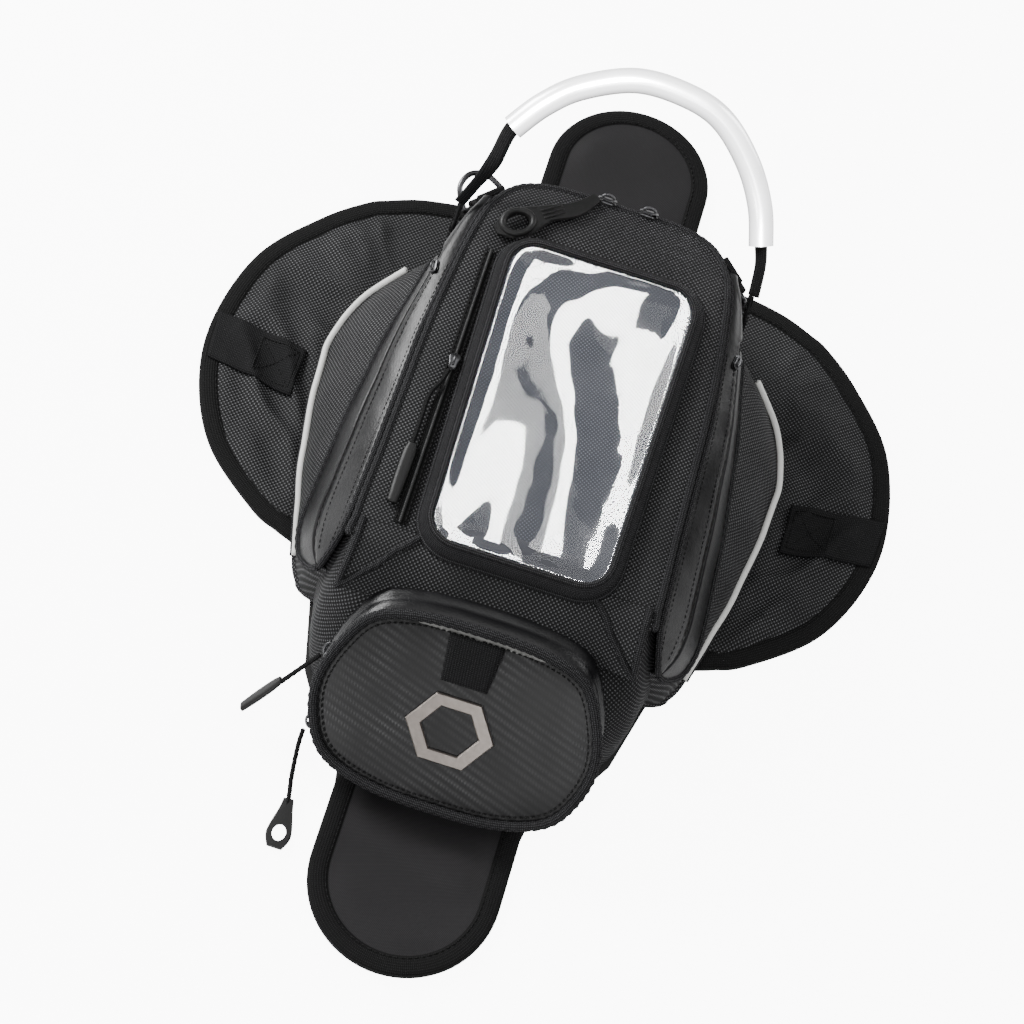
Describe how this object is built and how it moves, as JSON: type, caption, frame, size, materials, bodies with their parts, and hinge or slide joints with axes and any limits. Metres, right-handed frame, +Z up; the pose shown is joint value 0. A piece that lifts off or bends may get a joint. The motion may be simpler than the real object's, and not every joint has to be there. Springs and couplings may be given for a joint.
{
  "type": "motorcycle tank bag",
  "caption": "Magnetic motorcycle tank bag with a clear window in its lid, front and side pockets, fold-out magnetic wings and flaps and a tubular carry handle.",
  "frame": {"origin": "on the ground plane, under the middle of the bag's outline with its wings and flaps laid flat", "axes": "+Z up; +Y towards the front of the motorcycle, where the handle is; +X to the rider's right"},
  "size_m": [0.4318, 0.607, 0.1744],
  "materials": {
    "mesh_fabric": "matte",
    "coated_leather": "satin",
    "twill": "matte",
    "lining": "matte",
    "binding": "matte",
    "webbing": "matte",
    "rope_piping": "matte",
    "carbon_panel": "gloss",
    "clear_window": "gloss",
    "reflective_piping": "satin",
    "silver_tube": "satin",
    "nickel": "satin",
    "gunmetal": "satin",
    "zip_coil": "satin",
    "pull_rubber": "satin",
    "magnet": "satin",
    "board": "matte",
    "base_rubber": "matte"
  },
  "bodies": {
    "bag": {"base_sheet": "base_rubber", "base_board": "board", "body_shell": "mesh_fabric", "main_zip": "zip_coil", "pocket_shell": "coated_leather", "pocket_zip": "zip_coil", "side_band_left": "coated_leather", "side_band_right": "coated_leather", "side_zip_left": "zip_coil", "side_zip_right": "zip_coil", "handle_anchor_left": "webbing", "handle_anchor_right": "webbing", "d_ring_loop_left": "webbing", "d_ring_loop_right": "webbing"},
    "lid": {"lid_panel": "mesh_fabric", "window_backing": "lining", "window_zip": "zip_coil"},
    "window_flap": {"window_frame": "rope_piping", "window_sheet": "clear_window"},
    "window_slider": {"window_slider": "gunmetal"},
    "window_puller": {"window_puller": "pull_rubber"},
    "main_slider_left": {"main_slider_left": "gunmetal"},
    "main_slider_right": {"main_slider_right": "gunmetal"},
    "main_puller": {"main_puller": "pull_rubber"},
    "side_pocket_left": {"side_panel_left": "mesh_fabric", "side_piping_left": "reflective_piping"},
    "side_pocket_right": {"side_panel_right": "mesh_fabric", "side_piping_right": "reflective_piping"},
    "side_slider_left": {"side_slider_left": "gunmetal"},
    "side_slider_right": {"side_slider_right": "gunmetal"},
    "wing_left": {"wing_left_binding": "binding", "wing_left_cover": "mesh_fabric", "wing_left_lining": "lining", "wing_left_magnet": "magnet", "wing_webbing_left": "webbing"},
    "wing_right": {"wing_right_binding": "binding", "wing_right_cover": "mesh_fabric", "wing_right_lining": "lining", "wing_right_magnet": "magnet", "wing_webbing_right": "webbing"},
    "front_flap": {"front_flap_binding": "binding", "front_flap_cover": "twill", "front_flap_lining": "lining", "front_flap_magnet": "magnet"},
    "rear_flap": {"rear_flap_binding": "binding", "rear_flap_cover": "twill", "rear_flap_lining": "lining", "rear_flap_magnet": "magnet"},
    "handle": {"handle_tube": "silver_tube", "handle_strap": "webbing"},
    "d_ring_left": {"d_ring_left": "gunmetal"},
    "d_ring_right": {"d_ring_right": "gunmetal"},
    "pocket_face": {"pocket_face": "carbon_panel", "pocket_piping": "rope_piping", "emblem": "nickel"},
    "pocket_slider_upper": {"pocket_slider_upper": "gunmetal"},
    "pocket_slider_lower": {"pocket_slider_lower": "gunmetal"},
    "pocket_puller_upper": {"pocket_puller_upper": "pull_rubber"},
    "pocket_puller_lower": {"pocket_puller_lower": "pull_rubber"}
  },
  "joints": [
    {"name": "lid_hinge", "type": "hinge", "parent": "bag", "child": "lid", "pos_m": [0, -0.1, 0.082], "axis": [1, 0, 0], "range_deg": [0, 75]},
    {"name": "window_hinge", "type": "hinge", "parent": "lid", "child": "window_flap", "pos_m": [0.0665, 0.01186, 0.09446], "axis": [0, 0.9967, 0.0811], "range_deg": [0, 40]},
    {"name": "window_zip_slide", "type": "slide", "parent": "lid", "child": "window_slider", "axis": [0, 0.9967, 0.0811], "range_m": [-0.02, 0.055]},
    {"name": "window_puller_hinge", "type": "hinge", "parent": "window_slider", "child": "window_puller", "pos_m": [-0.065, 0.01701, 0.09894], "axis": [-1, 0, 0], "range_deg": [0, 60]},
    {"name": "main_zip_slide_left", "type": "slide", "parent": "lid", "child": "main_slider_left", "axis": [1, 0, 0], "range_m": [-0.02, 0.002]},
    {"name": "main_zip_slide_right", "type": "slide", "parent": "lid", "child": "main_slider_right", "axis": [1, 0, 0], "range_m": [-0.005, 0.012]},
    {"name": "main_puller_hinge", "type": "hinge", "parent": "main_slider_left", "child": "main_puller", "pos_m": [-0.0146, 0.16143, 0.0991], "axis": [-0.6832, 0.7302, 0], "range_deg": [0, 60]},
    {"name": "side_pocket_left_hinge", "type": "hinge", "parent": "bag", "child": "side_pocket_left", "pos_m": [-0.142, 0, 0.004], "axis": [0, -1, 0], "range_deg": [0, 18]},
    {"name": "side_pocket_right_hinge", "type": "hinge", "parent": "bag", "child": "side_pocket_right", "pos_m": [0.142, 0, 0.004], "axis": [0, 1, 0], "range_deg": [0, 18]},
    {"name": "side_zip_slide_left", "type": "slide", "parent": "bag", "child": "side_slider_left", "axis": [-0.108, -0.9871, -0.118], "range_m": [0, 0.02]},
    {"name": "side_zip_slide_right", "type": "slide", "parent": "bag", "child": "side_slider_right", "axis": [0.108, -0.9871, -0.118], "range_m": [0, 0.02]},
    {"name": "wing_left_fold", "type": "hinge", "parent": "bag", "child": "wing_left", "pos_m": [-0.15, 0, 0.003], "axis": [0, 1, 0], "range_deg": [-45, 60]},
    {"name": "wing_right_fold", "type": "hinge", "parent": "bag", "child": "wing_right", "pos_m": [0.15, 0, 0.003], "axis": [0, -1, 0], "range_deg": [-45, 60]},
    {"name": "front_flap_fold", "type": "hinge", "parent": "bag", "child": "front_flap", "pos_m": [0, 0.185, 0.003], "axis": [1, 0, 0], "range_deg": [-45, 80]},
    {"name": "rear_flap_fold", "type": "hinge", "parent": "bag", "child": "rear_flap", "pos_m": [0, -0.215, 0.003], "axis": [-1, 0, 0], "range_deg": [-45, 75]},
    {"name": "handle_swing", "type": "hinge", "parent": "bag", "child": "handle", "pos_m": [0, 0.13, 0.097], "axis": [1, 0, 0], "range_deg": [-20, 95]},
    {"name": "d_ring_left_swing", "type": "hinge", "parent": "bag", "child": "d_ring_left", "pos_m": [-0.079, 0.157, 0.066], "axis": [0.6919, 0.722, 0], "range_deg": [-93, 35]},
    {"name": "d_ring_right_swing", "type": "hinge", "parent": "bag", "child": "d_ring_right", "pos_m": [0.079, 0.157, 0.066], "axis": [0.6919, -0.722, 0], "range_deg": [0, 128]},
    {"name": "pocket_hinge", "type": "hinge", "parent": "bag", "child": "pocket_face", "pos_m": [0, -0.20614, 0.01903], "axis": [1, 0, 0], "range_deg": [0, 65]},
    {"name": "pocket_zip_slide_upper", "type": "slide", "parent": "bag", "child": "pocket_slider_upper", "axis": [0.3271, 0.7552, 0.5681], "range_m": [-0.012, 0.012]},
    {"name": "pocket_zip_slide_lower", "type": "slide", "parent": "bag", "child": "pocket_slider_lower", "axis": [-0.4464, 0.7147, 0.5385], "range_m": [0, 0.01]},
    {"name": "pocket_puller_upper_hinge", "type": "hinge", "parent": "pocket_slider_upper", "child": "pocket_puller_upper", "pos_m": [-0.0825, -0.15382, 0.05029], "axis": [-0.6515, 0.7587, 0], "range_deg": [-8, 50]},
    {"name": "pocket_puller_lower_hinge", "type": "hinge", "parent": "pocket_slider_lower", "child": "pocket_puller_lower", "pos_m": [-0.0805, -0.18958, 0.02163], "axis": [-1, 0, 0], "range_deg": [0, 40]}
  ]
}
